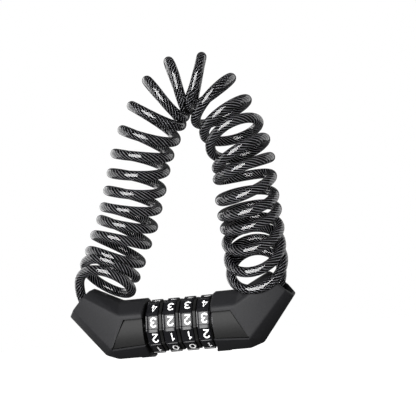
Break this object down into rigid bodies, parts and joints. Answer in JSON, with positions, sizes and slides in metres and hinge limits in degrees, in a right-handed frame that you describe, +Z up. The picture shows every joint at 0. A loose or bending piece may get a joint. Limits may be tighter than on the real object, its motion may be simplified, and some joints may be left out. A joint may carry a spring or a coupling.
{
  "type": "combination cable lock",
  "caption": "Coiled steel cable in a clear jacket that arches over a rail and joins both elbow ends of a combination lock body with number dials.",
  "frame": {"origin": "point under the arch of the coil where the hanging lock rests on a rail", "axes": "+X along the axis of the dials towards the pull-off plug, +Z up, +Y towards the back of the lock"},
  "size_m": [0.102, 0.0382, 0.1334],
  "materials": {
    "housing": "fine-grained black moulded plastic",
    "dial": "glossy black plastic with white digits",
    "digit": "white paint in the digits",
    "steel": "plain steel",
    "brass": "plain brass",
    "jacket": "clear smoky glossy PVC jacket",
    "strands": "twisted dark steel strands"
  },
  "bodies": {
    "lock_body": {"left_elbow_cover": "housing", "left_core_sleeve": "housing", "left_ferrule": "steel", "left_ferrule_pin": "steel", "lock_barrel": "steel", "barrel_pin": "steel", "detent_spring": "steel", "retaining_clip": "steel", "cable_left_tail": "jacket", "coil_left_leg": "jacket", "coil_crown": "jacket"},
    "plug": {"right_elbow_cover": "housing", "right_core_sleeve": "housing", "right_ferrule": "steel", "right_ferrule_pin": "steel", "locking_bolt": "steel", "bolt_pin": "steel", "cable_right_tail": "jacket", "coil_right_leg": "jacket"},
    "reset_collar": {"reset_collar": "brass"},
    "dial_1": {"number_ring_1": "dial", "clutch_ring_1": "brass"},
    "dial_2": {"number_ring_2": "dial", "clutch_ring_2": "brass"},
    "dial_3": {"number_ring_3": "dial", "clutch_ring_3": "brass"},
    "dial_4": {"number_ring_4": "dial", "clutch_ring_4": "brass"}
  },
  "joints": [
    {"name": "plug_slide", "type": "slide", "parent": "lock_body", "child": "plug", "axis": [1, 0, 0], "range_m": [0, 0.038], "deforming": ["coil_crown"]},
    {"name": "reset_turn", "type": "hinge", "parent": "lock_body", "child": "reset_collar", "pos_m": [-0.0139, 0, -0.0917], "axis": [1, 0, 0], "range_deg": [0, 90]},
    {"name": "dial_1_spin", "type": "hinge", "parent": "lock_body", "child": "dial_1", "pos_m": [-0.0139, 0, -0.0917], "axis": [1, 0, 0], "continuous": true},
    {"name": "dial_2_spin", "type": "hinge", "parent": "lock_body", "child": "dial_2", "pos_m": [-0.0139, 0, -0.0917], "axis": [1, 0, 0], "continuous": true},
    {"name": "dial_3_spin", "type": "hinge", "parent": "lock_body", "child": "dial_3", "pos_m": [-0.0139, 0, -0.0917], "axis": [1, 0, 0], "continuous": true},
    {"name": "dial_4_spin", "type": "hinge", "parent": "lock_body", "child": "dial_4", "pos_m": [-0.0139, 0, -0.0917], "axis": [1, 0, 0], "continuous": true}
  ]
}
